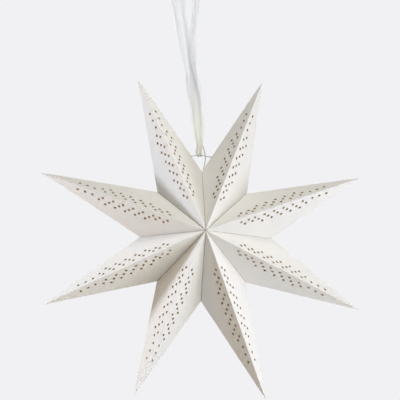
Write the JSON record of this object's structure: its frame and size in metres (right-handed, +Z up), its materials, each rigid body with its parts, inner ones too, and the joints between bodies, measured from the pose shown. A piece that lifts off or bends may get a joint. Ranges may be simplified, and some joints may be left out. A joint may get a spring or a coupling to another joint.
{
  "type": "star pendant light",
  "caption": "Folded card star with hollow perforated rays, hung on a ribbon loop, with a battery light on a cord inside.",
  "frame": {"origin": "inner top of the ribbon loop, where a hook carries it", "axes": "+Z up; the star lies in the XZ plane and its front faces -Y; +X to the right as seen from the front"},
  "size_m": [0.5544, 0.168, 0.7472],
  "materials": {
    "card": "matt white card",
    "ribbon": "sheer off-white woven ribbon",
    "cord": "grey-white twisted cord",
    "white_plastic": "satin moulded",
    "black_plastic": "satin moulded",
    "cell_jacket": "printed sleeve, plain",
    "plated_spring": "nickel plated",
    "plated_contact": "nickel plated",
    "brass_pin": "plain",
    "board": "white solder mask",
    "screw_steel": "zinc plated",
    "led_chip": "phosphor",
    "opal": "opal",
    "switch_steel": "folded"
  },
  "bodies": {
    "hanger": {"hanging_ribbon": "ribbon"},
    "tie": {"tie_cord": "cord", "lamp_cord_top": "cord"},
    "star": {"ray_1": "card", "ray_2": "card", "ray_3": "card", "ray_4": "card", "ray_5": "card", "ray_6": "card", "ray_7": "card", "ray_8": "card", "lamp_cord_outer": "cord"},
    "lamp_line": {"lamp_cord_inner": "cord"},
    "lamp_head": {"lamp_cap": "white_plastic"},
    "lamp_case": {"battery_case": "white_plastic", "battery_carrier": "black_plastic", "batteries": "cell_jacket", "contact_springs": "plated_spring", "contact_plates": "plated_contact", "contact_pins": "brass_pin", "circuit_board": "board", "board_screws": "screw_steel", "leds": "led_chip", "globe": "opal", "slide_switch": "switch_steel"},
    "knob": {"switch_knob": "black_plastic"}
  },
  "joints": [
    {"name": "star_turn", "type": "hinge", "parent": "hanger", "child": "tie", "pos_m": [0.0255, 0, -0.322], "axis": [0, 0, 1], "range_deg": [-180, 180], "deforming": ["hanging_ribbon"]},
    {"name": "star_rock", "type": "hinge", "parent": "tie", "child": "star", "pos_m": [0.0315, 0, -0.326], "axis": [1, 0, 0], "range_deg": [-25, 25]},
    {"name": "lamp_swing", "type": "hinge", "parent": "star", "child": "lamp_line", "pos_m": [0.0315, 0, -0.37345], "axis": [1, 0, 0], "range_deg": [-6, 6]},
    {"name": "lamp_tilt", "type": "hinge", "parent": "lamp_line", "child": "lamp_head", "pos_m": [0.0315, 0, -0.41434], "axis": [0, 1, 0], "range_deg": [-8, 8]},
    {"name": "case_unlock", "type": "hinge", "parent": "lamp_head", "child": "lamp_case", "pos_m": [0.0315, 0, -0.418], "axis": [0, 0, 1], "range_deg": [0, 30]},
    {"name": "switch_slide", "type": "slide", "parent": "lamp_case", "child": "knob", "axis": [1, 0, 0], "range_m": [0, 0.003]}
  ]
}
